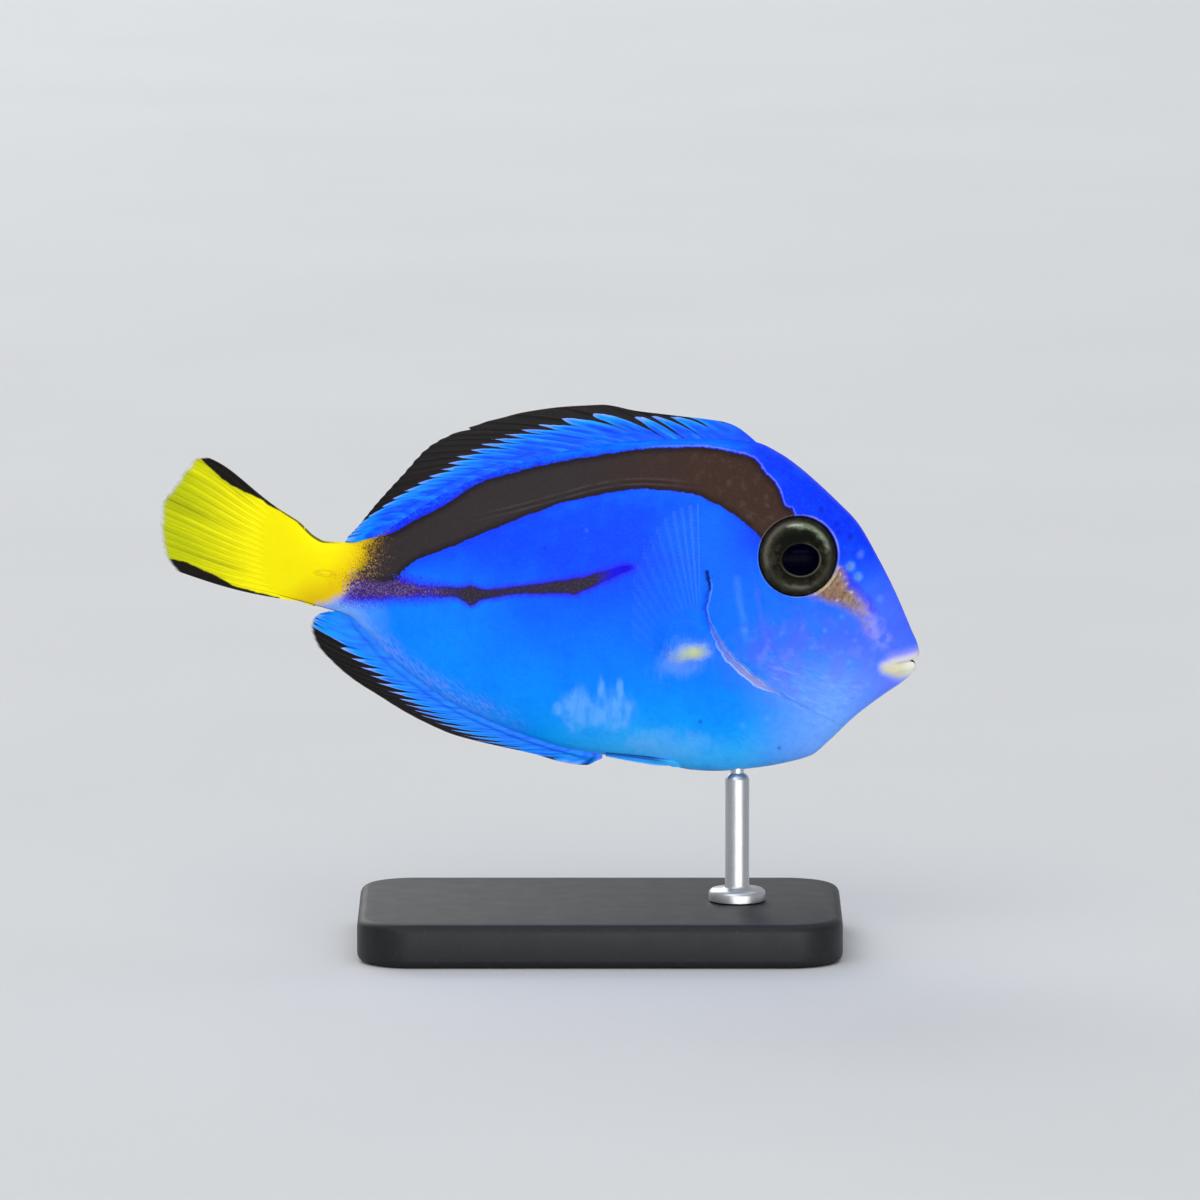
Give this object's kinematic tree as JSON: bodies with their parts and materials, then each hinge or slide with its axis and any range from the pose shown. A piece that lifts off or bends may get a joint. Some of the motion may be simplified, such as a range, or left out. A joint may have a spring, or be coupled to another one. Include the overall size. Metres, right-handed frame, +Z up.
{
  "type": "regal blue tang",
  "caption": "Still life-size young regal blue tang: a deep, flat reef fish with a bent tail, folded back and belly fins and raised side fins, held by a rod on a flat base.",
  "frame": {"origin": "centre of the underside of the stand's base, which is the mount base_underside", "axes": "+X towards the fish's snout, -Y out of the fish's right side, +Z up"},
  "size_m": [0.0695, 0.028, 0.0496],
  "materials": {
    "skin": "satin fish skin of tiny scales, vivid blue with a brown-black flank marking and a yellow tail stalk",
    "folded_fins": "thin rayed fin, blue at the root with a black edge",
    "tail_fin": "thin rayed fin, bright yellow with black upper and lower bands",
    "side_fins": "clear, colourless fin skin with faint rays",
    "eye": "clear wet cornea over an olive-grey iris and a blue-black pupil",
    "stand_base": "satin black acrylic with softened edges",
    "stand_rod": "fine brushed steel"
  },
  "bodies": {
    "root": {"head": "skin", "torso": "skin", "tail_stalk": "skin", "dorsal_fin": "folded_fins", "anal_fin": "folded_fins", "caudal_fin": "tail_fin", "pectoral_fin_right": "side_fins", "pectoral_fin_left": "side_fins", "pelvic_fin_right": "folded_fins", "pelvic_fin_left": "folded_fins", "eye_right": "eye", "eye_left": "eye", "stand_base": "stand_base", "stand_rod": "stand_rod"}
  },
  "joints": []
}
